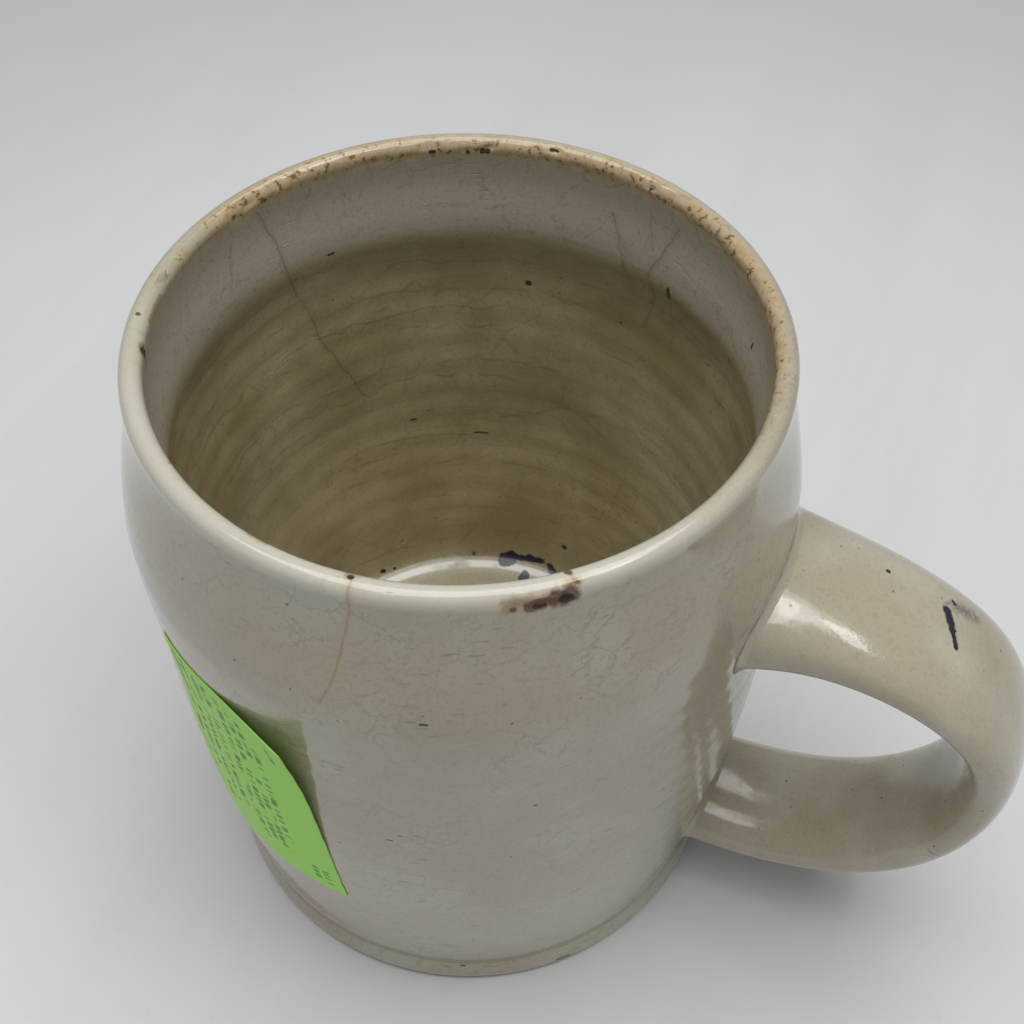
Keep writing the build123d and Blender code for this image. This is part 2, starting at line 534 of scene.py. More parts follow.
SPECKS = (
    Blot.on_wall(97.4, 78.6, 39.5, 0.55), Blot.on_wall(61.8, 88.0, 38.6, 0.42, rise=0.9),
    Blot.on_wall(74.6, 76.4, 39.3, 0.26), Blot.on_wall(126.4, 50.4, 37.2, 0.35, run=0.3),
    Blot.on_wall(142.4, 88.8, 38.5, 0.3, run=0.35), Blot.on_wall(39.2, 87.3, 38.7, 0.26, rise=0.4),
    Blot.on_wall(31.5, 94.7, 38.9, 0.24, rise=0.4), Blot.on_wall(-73.7, 84.7, 45.2, 0.26, run=0.35),
    Blot.on_wall(-56.9, 63.9, 45.0, 0.24, run=0.1), Blot.on_wall(-81.2, 54.2, 44.9, 0.24, run=0.3),
    Blot.on_wall(-79.3, 55.9, 44.9, 0.16, run=0.2), Blot.on_wall(-90.9, 49.0, 44.7, 0.18, run=0.2),
    Blot.on_wall(-94.2, 85.6, 45.1, 0.2), Blot.on_wall(-104.3, 85.7, 45.1, 0.22),
    Blot.on_wall(-47.4, 2.0, 41.2, 0.45, run=0.9), Blot.on_wall(-70.5, 4.7, 40.7, 0.25, run=0.3),
    Blot.on_wall(108.6, 46.3, 37.0, 0.24, run=1.1), Blot.on_wall(106.9, 102.5, 39.2, 0.45, run=0.4, ragged=1.0),
    Blot.on_wall(110.6, 102.3, 39.1, 0.35), Blot.on_wall(92.5, 103.7, 39.6, 0.28, run=0.4, ragged=1.0),
    Blot.on_wall(70.0, 103.2, 39.2, 0.3, ragged=1.0), Blot.on_wall(118.0, 102.6, 39.1, 0.3, run=0.3),
    Blot.on_wall(-155.3, 101.2, 39.05, 0.34, run=0.3, rise=-1.1), Blot.on_wall(-84.6, 104.0, 40.2, 0.42),
    Blot.on_wall(-166.0, 102.6, 41.95, 0.3, run=0.8), Blot.on_wall(-52.2, 102.2, 42.0, 0.6, run=0.4, ragged=1.0),
    Blot.on_wall(-56.2, 102.0, 42.0, 0.3, run=0.5, ragged=1.0),
)

INK_BLOTS = (
    Blot.at((-5.8, 31.3, 18.0), (-4.9, 31.9, 18.2), 1.55), Blot.at((-4.5, 32.3, 18.4), (1.0, 33.2, 18.7), 0.85, 0.7),
    Blot.at((2.4, 32.7, 18.4), (3.4, 31.6, 18.1), 0.8, 0.8), Blot.at((-1.4, 28.9, 17.3), (-1.4, 29.5, 17.3), 1.0, 0.6),
    Blot.at((-11.7, 30.2, 17.9), (-11.7, 30.8, 18.1), 0.75), Blot.at((4.7, 33.9, 23.4), (4.7, 33.9, 23.4), 0.55),
    Blot.at((-8.9, 29.8, 17.4), (-8.9, 29.8, 17.4), 0.4), Blot.at((-25.9, 20.0, 18.8), (-25.4, 20.2, 18.8), 0.4),
    Blot.at((-23.9, 21.6, 18.6), (-23.9, 21.6, 18.6), 0.3), Blot.at((7.2, 29.4, 17.5), (7.2, 29.4, 17.5), 0.35),
)

LIP_FILM = (
    Blot.on_wall(-57.0, 102.7, 41.6, 1.4, run=2.7, ragged=0.7), Blot.on_wall(-51.0, 103.4, 40.9, 1.0, run=0.6),
    Blot.on_wall(-155.6, 102.3, 39.2, 0.8, rise=1.0), Blot.on_wall(-101.6, 103.5, 39.2, 1.0, run=0.8),
    Blot.on_wall(-84.9, 103.9, 40.0, 0.75), Blot.on_wall(-113.0, 103.0, 39.1, 0.5, run=1.2),
    Blot.on_wall(-166.0, 103.0, 39.1, 0.6, run=2.2),
)

LIP_BROWN = (
    Blot.on_wall(-60.2, 102.0, 41.9, 0.45, ragged=0.9), Blot.on_wall(-56.8, 102.2, 41.9, 1.1, run=0.6),
    Blot.on_wall(-52.6, 102.6, 41.8, 1.45, run=0.8), Blot.at((25.0, -31.0, 104.0), (26.2, -31.6, 103.5), 0.6),
    Blot.on_wall(-155.4, 102.0, 39.1, 0.5, rise=0.8), Blot.on_wall(-162.7, 104.1, 40.4, 0.4),
)

WALL_CRACKS = (
    Hairline(((157.6, 101.1), (155.0, 95.1), (153.3, 88.2), (148.9, 79.0), (146.9, 72.5), (142.2, 65.0),
              (138.1, 58.3)), 0.26),
    Hairline(((165.1, 98.8), (168.1, 93.0)), 0.2, 0.6),
    Hairline(((78.7, 96.4), (75.9, 92.3), (73.1, 86.5)), 0.24, 0.8),
    Hairline(((62.1, 99.3), (64.9, 93.3), (67.6, 89.7), (66.4, 84.9), (68.7, 77.8)), 0.26, 0.9),
    Hairline(((69.8, 99.9), (67.6, 93.2)), 0.18, 0.5),
    Hairline(((61.2, 86.4), (60.0, 76.7)), 0.2, 0.6),
    Hairline(((87.3, 60.1), (87.3, 55.4), (95.2, 51.7), (103.9, 49.7)), 0.24, 0.7),
    Hairline(((87.3, 55.4), (80.1, 54.2), (74.3, 52.1)), 0.24, 0.7),
    Hairline(((108.1, 99.1), (108.0, 94.2)), 0.24, 0.4),
)

OUTSIDE_CRACK = Hairline(((-84.5, 104.9), (-84.2, 101.0), (-85.5, 96.3), (-87.2, 89.2), (-89.5, 84.8)), 0.24)

HANDLE_INK = (
    Blot.at((66.9, 3.6, 73.4), (68.0, 1.2, 73.0), 0.8, 0.7),
    Blot.at((68.0, 1.2, 73.0), (69.0, -1.3, 72.3), 0.45, 0.8),
    Blot.at((58.2, 4.7, 76.4), (58.4, 4.7, 76.4), 0.32), Blot.at((67.6, 5.8, 72.8), (67.8, 5.6, 72.8), 0.4, 0.9),
)
HANDLE_SMUDGE = (
    Blot.at((68.2, 5.2, 72.4), (70.8, 5.8, 70.8), 1.6, 1.2), Blot.at((66.6, 4.4, 73.6), (67.6, 6.0, 73.0), 0.6, 1.2),
    Blot.at((74.8, -10.3, 36.6), (77.2, -10.3, 36.0), 0.3, 1.2),
)


# ---- Finishes --------------------------------------------------------------------------------

@dataclass(frozen=True)
class CreamGlaze:
    """Aged cream glaze over stoneware, as it shows on the outside of the mug."""

    pale: Colour = tone(187, 182, 161)
    shade: Colour = tone(180, 170, 148)
    line: Colour = tone(112, 98, 78)
    speck: Colour = tone(50, 41, 33)
    roughness: float = 0.10

    def ground(self, shader: Shader, grain: Value) -> tuple[bpy.types.NodeSocket, Value]:
        """Mottled glaze with fine throwing lines, short dark crazing ticks and pinholes.

        Args:
            shader: the material to add it to.
            grain: fine noise from 0 to 1.

        Returns:
            Its colour, and its height for a bump.
        """
        cloud = shader.noise(0.024, 3.0, 0.55).step(0.38, 0.64)
        colour = shader.mix(cloud, self.shade, self.pale)
        brushed = shader.noise(0.008, 3.0, 0.65, stretch=(0.22, 0.22, 7.0))
        colour = shader.mix(brushed.step(0.56, 0.36) * 0.03, colour, self.line)
        colour = shader.mix(abs(grain - 0.5) * 0.95, colour, self.line)
        crackle = shader.crazing(0.0042) * shader.noise(0.012, 2.0, 0.6).step(0.42, 0.66)
        colour = shader.mix(crackle * 0.26, colour, self.line)
        tick = shader.noise(0.0019, 1.0, 0.5, stretch=(0.6, 0.6, 4.2)).step(0.66, 0.73)
        patchy = shader.noise(0.015, 1.0).step(0.50, 0.66)
        tick = tick * patchy
        colour = shader.mix(tick * 0.34, colour, self.speck)
        dot, tint = shader.cells(shader.place, 0.0032)
        rare, size, _ = shader.parts(tint)
        pinhole = dot.step(0.09, 0.05) * rare.step(0.80, 0.84) * (0.3 + 0.7 * size)
        colour = shader.mix(pinhole * 0.7, colour, self.speck)
        height = brushed * 0.1 - tick * 0.4 - pinhole * 0.4 + cloud * 0.3
        return colour, height


@dataclass(frozen=True)
class BodyGlaze:
    """The body's finish: cream outside, soap stained inside, worn at the lip, bare at the foot."""

    outside: CreamGlaze = CreamGlaze()
    band: Colour = tone(192, 184, 168)
    stain: Colour = tone(183, 172, 139)
    stain_dark: Colour = tone(154, 143, 106)
    rust: Colour = tone(158, 118, 84)
    floor: Colour = tone(188, 181, 152)
    floor_highlight: Colour = tone(244, 243, 236)
    lip_highlight: Colour = tone(218, 215, 200)
    worn: Colour = tone(190, 162, 114)
    film: Colour = tone(170, 134, 86)
    brown: Colour = tone(92, 60, 38)
    dirt: Colour = tone(40, 30, 24)
    biscuit: Colour = tone(176, 162, 136)
    ink: Colour = tone(22, 20, 46)

    def build(self, body: "MugBody") -> bpy.types.Material:
        """Makes the material.

        Args:
            body: the piece, for its sizes.

        Returns:
            The material.
        """
        shader = Shader("body_glaze")
        x, y, z = shader.parts(shader.place)
        _, across, _ = shader.parts(shader.uv)
        azimuth = y.angle(x) * (180 / pi)
        inside = across.step(-0.0016, -0.0030)
        grain = shader.noise(0.0009, 2.0, 0.7)
        glaze, relief = self.outside.ground(shader, grain)
        colour = shader.mix(inside, glaze, self._inside(shader, z, grain, body))
        colour = self._floor_edge_highlight(shader, colour, x, y, z, body)
        colour = self._lip(shader, colour, across, y)
        foot = z.step(0.0010, 0.0003)
        # Painted shade: a dark line along the lower flank of the foot's groove.
        groove_shade = abs(z - 0.0058 - (shader.noise(0.02, 1.0) - 0.5) * 0.0012).step(0.0011, 0.0002) * (1.0 - inside)
        colour = shader.mix(groove_shade * 0.30, colour, self.outside.speck)
        colour = shader.mix(foot, colour, self.biscuit)
        wander = (shader.noise(0.004, 2.0, 0.6) - 0.5) * 2.4
        cracks, halo = self._cracks(WALL_CRACKS, azimuth, z, wander)
        colour = shader.mix(halo * inside * 0.14, colour, self.brown)
        colour = shader.mix(cracks * inside * 0.20, colour, self.dirt)
        split, seep = self._cracks((OUTSIDE_CRACK,), azimuth, z, wander * 0.5)
        outer = 1.0 - across.step(-0.0010, -0.0018)
        colour = shader.mix(seep * outer * 0.30, colour, self.worn)
        colour = shader.mix(split * outer * 0.24, colour, self.brown)
        fray = (shader.noise(0.0014, 2.0, 0.6) - 0.5) * 2.0
        colour = shader.mix(shader.blots(LIP_FILM, fray, 0.4) * 0.72, colour, self.film)
        colour = shader.mix(shader.blots(LIP_BROWN, fray, 0.55) * 0.90, colour, self.brown)
        colour = shader.mix(shader.blots(SPECKS, fray) * 0.92, colour, self.dirt)
        colour = shader.mix(shader.blots(INK_BLOTS, fray) * 0.98, colour, self.ink)
        smear = shader.noise(0.02, 2.0).step(0.45, 0.75)
        dull = inside * 0.16 + smear * 0.07 + foot * 0.5 + self.outside.roughness
        normal = shader.bump(relief - (cracks * inside + split * outer) * 0.3, 0.00012)
        return shader.finish(Base_Color=colour, Roughness=dull, Normal=normal, IOR=1.5,
                             Coat_Weight=0.25, Coat_Roughness=0.05)

    def _inside(self, shader: Shader, z: Value, grain: Value, body: "MugBody") -> bpy.types.NodeSocket:
        """Colours the inside: a paler band under the lip, an olive stain with a painted shadow just under the ledge, a
        paler floor.

        Args:
            shader: the material.
            z: height, in metres.
            grain: fine noise from 0 to 1.
            body: the piece, for its sizes.

        Returns:
            The inside's colour.
        """
        drift = shader.noise(0.020, 3.0, 0.6)
        level = z + (drift - 0.5) * 0.005
        stained = level.step(0.0905, 0.0865)
        rings = shader.noise(0.012, 3.0, 0.62, stretch=(0.3, 0.3, 6.0))
        band = shader.mix(rings.step(0.35, 0.7) * 0.22, self.band, self.stain)
        wall = shader.mix(drift.step(0.32, 0.68), self.stain, self.stain_dark)
        wall = shader.mix(rings.step(0.42, 0.30) * 0.12, wall, self.dirt)
        turned = (level * (2 * pi / 0.0034) + drift * 9.0).wave().step(0.86, 1.0)
        wall = shader.mix(turned * rings.step(0.45, 0.60) * 0.20, wall, self.dirt)
        # Painted shade: a soft dark band just under the inner ledge, in the dirt colour.
        shadow = abs(level - 0.0860).step(0.0050, 0.0)
        wall = shader.mix(shadow * 0.16, wall, self.dirt)
        red = shader.noise(0.016, 2.0).step(0.5, 0.68) * level.step(0.056, 0.036)
        wall = shader.mix(red * 0.34, wall, self.rust)
        inner = shader.mix(stained, band, wall)
        flat = z.step(body.floor_z + 0.0012, body.floor_z + 0.0003)
        cloudy = shader.mix(rings.step(0.4, 0.7) * 0.25, self.floor, self.stain)
        inner = shader.mix(flat, inner, cloudy)
        inner = shader.mix(abs(grain - 0.5) * 0.8, inner, self.dirt)
        inner = shader.mix(shader.crazing(0.0060) * rings.step(0.36, 0.6) * 0.16, inner, self.dirt)
        fleck, tint = shader.cells(shader.place, 0.0026)
        rare, _, _ = shader.parts(tint)
        fleck = fleck.step(0.11, 0.06) * rare.step(0.80, 0.84) * stained
        return shader.mix(fleck * 0.50, inner, self.dirt)

    def _floor_edge_highlight(self, shader: Shader, colour: bpy.types.NodeSocket, x: Value, y: Value, z: Value,
                    body: "MugBody") -> bpy.types.NodeSocket:
        """Whitens the low ring round the floor's edge: a painted highlight.

        Args:
            shader: the material.
            colour: the glaze so far.
            x: the place's X, in metres.
            y: the place's Y, in metres.
            z: height, in metres.
            body: the piece, for its sizes.

        Returns:
            The colour with the painted highlight ring.
        """
        radius = (x * x + y * y) ** 0.5
        low = z.step(body.floor_z + 0.0016, body.floor_z + 0.0009)
        # Painted highlight: a white ring just outside the floor's edge.
        ring = abs(radius - body.floor_radius - 0.0010).step(0.0009, 0.0004) * low
        return shader.mix(ring * shader.noise(0.006, 2.0).step(0.25, 0.45), colour, self.floor_highlight)

    def _lip(self, shader: Shader, colour: bpy.types.NodeSocket, across: Value, y: Value) -> bpy.types.NodeSocket:
        """Whitens the lip's crest on the front with a painted highlight, and browns the lip where its glaze has worn: a
        ragged band inside, strongest at the back.

        Args:
            shader: the material.
            colour: the glaze so far.
            across: distance from the lip's crest along the surface, negative inside.
            y: the place's Y, in metres.

        Returns:
            The colour with the painted highlight and the worn band.
        """
        ragged = shader.noise(0.0032, 4.0, 0.75)
        # Painted highlight: the crest of the lip is whitened on the front half only.
        colour = shader.mix(abs(across - 0.0004).step(0.0030, 0.0016) * y.step(0.000, -0.032) * 0.6, colour, self.lip_highlight)
        long = shader.noise(0.014, 1.0)
        edge = abs(across + 0.0018 + (ragged - 0.5) * 0.0026)
        back = y.step(-0.008, 0.020)
        weight = back * 0.77 + 0.23 + (long - 0.5) * 0.9
        worn = edge.step(0.0022, 0.0010) * (ragged + weight * 0.55).step(0.66, 0.92)
        colour = shader.mix(worn * 0.86, colour, self.worn)
        crumb = shader.noise(0.0010, 2.0, 0.7)
        flakes = crumb.step(0.50, 0.58) * worn * 0.60
        colour = shader.mix(flakes, colour, self.outside.pale)
        crumbs = crumb.step(0.43, 0.36) * edge.step(0.0019, 0.0010) * (ragged + weight * 0.5).step(0.62, 0.85)
        return shader.mix(crumbs * 0.72, colour, self.brown)

    def _cracks(self, cracks: Sequence[Hairline], azimuth: Value, z: Value,
                wander: Value) -> tuple[Value, Value]:
        """Union of hairlines, each a chain of straight spans bent a little by noise.

        Args:
            cracks: the hairlines.
            azimuth: degrees round the mug.
            z: height, in metres.
            wander: how far noise moves them, in degrees.

        Returns:
            1 on a crack, and 1 in the soft stain along it.
        """
        lines, halos = None, None
        for crack in cracks:
            for (a0, z0), (a1, z1) in zip(crack.stations, crack.stations[1:]):
                if abs(z1 - z0) > abs(a1 - a0) * 0.6:
                    run = (z * 1000 - z0) / (z1 - z0)
                    off = abs(azimuth + wander - (run * (a1 - a0) + a0)) * (40 * pi / 180)
                else:
                    run = (azimuth - a0) / (a1 - a0)
                    off = abs(z * 1000 + wander * 0.6 - (run * (z1 - z0) + z0))
                span = run.step(-0.04, 0.02) * run.step(1.04, 0.98) * crack.strength
                line = off.step(crack.width, crack.width * 0.25) * span
                halo = off.step(crack.width * 5.0, 0.0) * span
                lines = line if lines is None else lines.high(line)
                halos = halo if halos is None else halos.high(halo)
        return lines, halos


@dataclass(frozen=True)
class HandleGlaze:
    """Warm, thickly pooled glaze of the handle."""

    pale: Colour = tone(190, 184, 165)
    shade: Colour = tone(177, 169, 146)
    line: Colour = tone(126, 110, 84)
    speck: Colour = tone(46, 37, 28)
    ink: Colour = tone(17, 20, 42)
    smudge: Colour = tone(96, 82, 92)
    roughness: float = 0.10

    def build(self, name: str = "handle_glaze", dirt: float = 0.0) -> bpy.types.Material:
        """Makes the material.

        Args:
            name: the material's name.
            dirt: how dark the creases are, read from the piece's own second coordinate.

        Returns:
            The material.
        """
        shader = Shader(name)
        cloud = shader.noise(0.016, 3.0, 0.55).step(0.38, 0.66)
        colour = shader.mix(cloud, self.shade, self.pale)
        grain = shader.noise(0.0009, 2.0, 0.7)
        colour = shader.mix(abs(grain - 0.5) * 0.9, colour, self.line)
        dot, tint = shader.cells(shader.place, 0.0020)
        rare, size, _ = shader.parts(tint)
        pinhole = dot.step(0.12, 0.05) * rare.step(0.62, 0.66) * (0.3 + 0.7 * size)
        colour = shader.mix(pinhole * 0.72, colour, self.speck)
        fray = (shader.noise(0.0012, 3.0, 0.65) - 0.5) * 2.0
        if dirt:
            _, across, _ = shader.parts(shader.uv)
            crease = (1.0 - abs(across - 0.05).step(0.0, 0.16)).high(abs(across - 1.0).step(0.22, 0.0))
            colour = shader.mix(crease * (fray + 0.2).step(-0.35, 0.35) * dirt, colour, self.line)
            colour = shader.mix(crease * fray.step(0.12, 0.34) * dirt, colour, self.speck)
        else:
            colour = shader.mix(shader.blots(HANDLE_SMUDGE, fray, 0.1) * fray.step(-0.55, 0.15) * 0.75, colour, self.smudge)
            colour = shader.mix(shader.blots(HANDLE_INK, fray, 0.6) * 0.97, colour, self.ink)
        normal = shader.bump(cloud * 0.8 - pinhole * 0.5 + grain * 0.15, 0.00016)
        return shader.finish(Base_Color=colour, Roughness=shader.noise(0.02, 1.0) * 0.10 + self.roughness,
                             Normal=normal, IOR=1.5, Coat_Weight=0.4, Coat_Roughness=0.05)


@dataclass(frozen=True)
class PrintRow:
    """One row of printed marks: its distance left of the label's right edge, its start and end
    above the lower edge, and its height, all in millimetres."""

    left: float
    start: float
    end: float
    height: float = 1.25


PRINT_ROWS = (
    PrintRow(2.4, 1.6, 6.8), PrintRow(4.2, 2.4, 7.0), PrintRow(3.4, 39.0, 44.0), PrintRow(7.4, 8.0, 40.0),
    PrintRow(9.2, 7.0, 43.0), PrintRow(11.0, 9.0, 44.0), PrintRow(13.0, 7.0, 44.0), PrintRow(15.6, 14.0, 44.0),
    PrintRow(17.8, 12.0, 45.0), PrintRow(20.2, 10.0, 45.0), PrintRow(22.4, 16.0, 45.0),
)


@dataclass(frozen=True)
class LabelPaper:
    """Fluorescent green paper with rows of plain printed marks that spell nothing."""

    green: Colour = tone(170, 240, 96)
    faded: Colour = tone(200, 238, 146)
    print_tone: Colour = tone(44, 72, 44)
    mark: float = 0.00046
    gap: float = 0.0034

    def build(self, wide: float) -> bpy.types.Material:
        """Makes the material.

        Args:
            wide: the label's width, in metres.

        Returns:
            The material.
        """
        shader = Shader("label_paper")
        up, left, _ = shader.parts(shader.uv)
        fibre = shader.noise(0.0012, 2.0, 0.7)
        colour = shader.mix(fibre.step(0.3, 0.8) * 0.3 + (left / wide).step(0.2, 1.2) * 0.6, self.green, self.faded)
        colour = shader.mix(self._marks(shader, up, left) * 0.66, colour, self.print_tone)
        normal = shader.bump(fibre, 0.00003)
        return shader.finish(Base_Color=colour, Roughness=0.6, Normal=normal)

    def _marks(self, shader: Shader, up: Value, left: Value) -> Value:
        """Rows of plain upright bars, set at random, with random gaps along each row.

        Args:
            shader: the material.
            up: distance above the label's lower edge, in metres.
            left: distance from its right edge, in metres.

        Returns:
            1 on the print, 0 on bare paper.
        """
        _, tint = shader.cells(shader.scaled(shader.uv, (1.0, 0.25, 1.0)), self.mark, randomness=0.25)
        on, _, _ = shader.parts(tint)
        _, word = shader.cells(shader.scaled(shader.uv, (1.0, 1.6, 1.0)), self.gap, randomness=0.9)
        said, _, _ = shader.parts(word)
        total = None
        for row in PRINT_ROWS:
            across = abs(left * 1000 - row.left).step(row.height / 2, row.height / 2 - 0.15)
            along = (up * 1000).step(row.start - 0.2, row.start) * (up * 1000).step(row.end + 0.2, row.end)
            total = across * along if total is None else total.high(across * along)
        return total * on.step(0.44, 0.52) * said.step(0.12, 0.16)


# ---- The mug's own pieces --------------------------------------------------------------------

def dress(piece: bpy.types.Object, material: bpy.types.Material, slot: str, *nodes: str) -> None:
    """Gives a piece its material and its place in the frame, and reports it.

    Args:
        piece: the finished object.
        material: its finish.
        slot: the record's material slot; not used.
        nodes: the solids that it stands for.
    """
    piece.data.materials.append(material)
    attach(piece, "root")
    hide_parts(*nodes)
    LOG.info("%s: %d faces", piece.name, len(piece.data.polygons))


@dataclass
class MugBody:
    """Thrown body: foot, straight wall, belly, shoulder, rolled lip, inner wall and floor."""

    height: float
    belly_radius: float
    belly_z: float = 80 * MM
    waist_inset: float = 0.7 * MM
    waist_z: float = 58 * MM
    lip_inset: float = 3.6 * MM
    lip_thickness: float = 3.0 * MM
    foot_inset: float = 4.5 * MM
    foot_bead: float = 1.8 * MM
    groove_depth: float = 0.7 * MM
    groove_z: float = 6.3 * MM
    recess: float = 3.2 * MM
    ring_width: float = 6.0 * MM
    floor_z: float = 17.2 * MM
    floor_radius: float = 29.5 * MM
    floor_step: float = 0.7 * MM
    heel_radius: float = 34.6 * MM
    heel_z: float = 26.0 * MM
    columns: int = 384
    rows: int = 254

    def __post_init__(self) -> None:
        """Samples the outline once: from the middle of the underside, out, up, over and in."""
        r, h, lip = self.belly_radius, self.height, self.lip_thickness / 2
        waist, foot, top = r - self.waist_inset, r - self.foot_inset, r - self.lip_inset
        groove = foot - self.groove_depth
        bare = foot - self.ring_width
        turn = np.linspace(0, pi / 2, 14)[:, None]
        bead = np.hstack([foot - self.foot_bead + self.foot_bead * np.sin(turn),
                          self.foot_bead - self.foot_bead * np.cos(turn)])
        under = np.vstack([np.linspace((1e-5, self.recess), (bare - 5.0 * MM, self.recess), 40),
                           bezier(((bare - 5.0 * MM, self.recess), (bare - 2.4 * MM, self.recess),
                                   (bare - 2.6 * MM, 0.0), (bare, 0.0)), 30),
                           np.linspace((bare, 0.0), (foot - self.foot_bead, 0.0), 12)])
        outer = np.vstack([
            bezier(((foot, self.foot_bead), (foot, self.groove_z - 2.4 * MM),
                    (groove, self.groove_z - 1.9 * MM), (groove, self.groove_z)), 40),
            bezier(((groove, self.groove_z), (groove, self.groove_z + 4 * MM),
                    (waist, self.waist_z - 28 * MM), (waist, self.waist_z)), 200),
            bezier(((waist, self.waist_z), (waist, self.waist_z + 8 * MM),
                    (r, self.belly_z - 8 * MM), (r, self.belly_z)), 100),
            bezier(((r, self.belly_z), (r, self.belly_z + 8 * MM), (top, h - 9 * MM), (top, h - lip)), 120)])
        roll = np.linspace(0, pi, 40)[:, None]
        crest = np.hstack([top - lip + lip * np.cos(roll), h - lip + lip * np.sin(roll)])
        ledge = h - 14.7 * MM
        inner = natural_spline(((top - 2 * lip, h - lip), (top - 2.7 * MM, ledge + 7.5 * MM),
                                (top - 3.6 * MM, ledge), (top - 2.7 * MM, ledge - 5.5 * MM),
                                (top - 3.5 * MM, 70 * MM), (top - 4.9 * MM, 48 * MM),
                                (self.heel_radius, self.heel_z)), 260)
        step = self.floor_z + self.floor_step
        heel = np.vstack([
            bezier(((self.heel_radius, self.heel_z), (self.heel_radius - 0.6 * MM, self.heel_z - 4 * MM),
                    (self.floor_radius + 4 * MM, step), (self.floor_radius + 1.2 * MM, step)), 50),
            bezier(((self.floor_radius + 1.2 * MM, step), (self.floor_radius + 0.4 * MM, step),
                    (self.floor_radius + 0.6 * MM, self.floor_z), (self.floor_radius, self.floor_z)), 14),
            np.linspace((self.floor_radius, self.floor_z), (1e-5, self.floor_z), 40)])
        self.outer = outer
        line = np.vstack([under, bead, outer, crest, inner, heel])
        keep = np.concatenate([[True], np.hypot(*np.diff(line, axis=0).T) > 1e-7])
        line = line[keep]
        run = np.concatenate([[0.0], np.cumsum(np.hypot(*np.diff(line, axis=0).T))])
        crest_run = run[np.argmax(line[:, 1])]
        near_lip = smoothstep(9 * MM, 5 * MM, abs(run - crest_run))
        near_foot = smoothstep(10 * MM, 7 * MM, line[:, 1]) * (line[:, 0] > bare - 3 * MM)
        density = 1 / (1.25 * MM) + near_lip / (0.45 * MM) + near_foot / (1.6 * MM)
        total = np.concatenate([[0.0], np.cumsum(0.5 * (density[1:] + density[:-1]) * np.diff(run))])
        at = np.interp(np.linspace(0, total[-1], self.rows), total, run)
        self.radius = np.interp(at, run, line[:, 0])
        self.level = np.interp(at, run, line[:, 1])
        self.across = crest_run - at

    def wall_radius(self, z: Array) -> Array:
        """Outside radius of the wall at height z."""
        return np.interp(z, self.outer[:, 1], self.outer[:, 0])

    def sway(self, at: Array, turn: Array, inside: Union[Array, float] = 0.0) -> Array:
        """How far the wall leaves its smooth outline: a slow wobble, and throwing ridges that climb
        in a shallow spiral and are deeper inside.

        Args:
            at: places on the smooth wall.
            turn: their azimuths, in radians.
            inside: 1 inside, 0 outside.

        Returns:
            The shift along the outline's normal, in metres.
        """
        level, noise = at[..., 2], LatticeNoise(11)
        wobble = 0.13 * MM * noise(at, 26 * MM) * smoothstep(3 * MM, 12 * MM, level)
        ridge = np.sin(level * 2 * pi / (5.2 * MM) + turn + 1.6 * noise(at, 30 * MM))
        worked = (1 - smoothstep(84 * MM, 92 * MM, level)) * smoothstep(24 * MM, 34 * MM, level)
        return wobble + ridge * worked * (0.03 * MM + 0.09 * MM * inside)

    def grid(self) -> Grid:
        """Turns the outline about Z, then moves each point along the outline's own normal.

        The shift is a slow wobble of the wall, throwing ridges that climb in a shallow spiral, and
        the flakes off the lip, each an elliptical bowl broken by noise.

        Returns:
            The body's surface.
        """
        angle = np.arange(self.columns) * 2 * pi / self.columns - pi
        slope = np.stack([np.gradient(self.radius), np.gradient(self.level)], -1)
        slope /= np.linalg.norm(slope, axis=1)[:, None] + 1e-12
        out_r, out_z = slope[:, 1][:, None], -slope[:, 0][:, None]
        radius = np.broadcast_to(self.radius[:, None], (self.rows, self.columns))
        level = np.broadcast_to(self.level[:, None], radius.shape)
        turn = np.broadcast_to(angle[None, :], radius.shape)
        at = np.stack([radius * np.cos(turn), radius * np.sin(turn), level], -1)
        flaw = LatticeNoise(29)
        across = self.across[:, None]
        inside = smoothstep(0.0, 3 * MM, -across) * np.ones_like(radius)
        free = smoothstep(3 * MM, 9 * MM, abs(across)) * smoothstep(12 * MM, 30 * MM, radius)
        shift = self.sway(at, turn, inside) * free
        pit = np.zeros_like(radius)
        for chip in LIP_CHIPS:
            along = (turn - radians(chip.azimuth) + pi) % (2 * pi) - pi
            x = along * 41 * MM / (chip.length / 2 * MM)
            y = (across - chip.across * MM) / (chip.height / 2 * MM)
            bowl = 1 - np.sqrt(x * x + y * y) + 0.45 * flaw(at, 0.9 * MM)
            pit = np.maximum(pit, chip.depth * MM * smoothstep(0.0, 0.75, bowl))
        back = smoothstep(-0.2, 0.5, np.sin(turn))
        rough = smoothstep(1.8 * MM, 0.6 * MM, abs(across + 2.1 * MM))
        pit += 0.16 * MM * rough * back * smoothstep(0.0, 0.7, flaw(at, 1.5 * MM))
        shift -= pit
        points = np.stack([(radius + out_r * shift) * np.cos(turn), (radius + out_r * shift) * np.sin(turn),
                           level + out_z * shift], -1)
        points[..., 2] = np.maximum(points[..., 2], 0.0)
        around = np.linspace(-pi, pi, self.columns + 1) * 45 * MM
        uv = np.stack(np.broadcast_arrays(around[None, :], self.across[:, None]), -1)
        return Grid(points, uv, caps=True)

    def build(self) -> None:
        """Makes and dresses the body."""
        body = self.grid().build("mug_body_glazed")
        dress(body, BodyGlaze().build(self), "body_glaze", "mug_body")


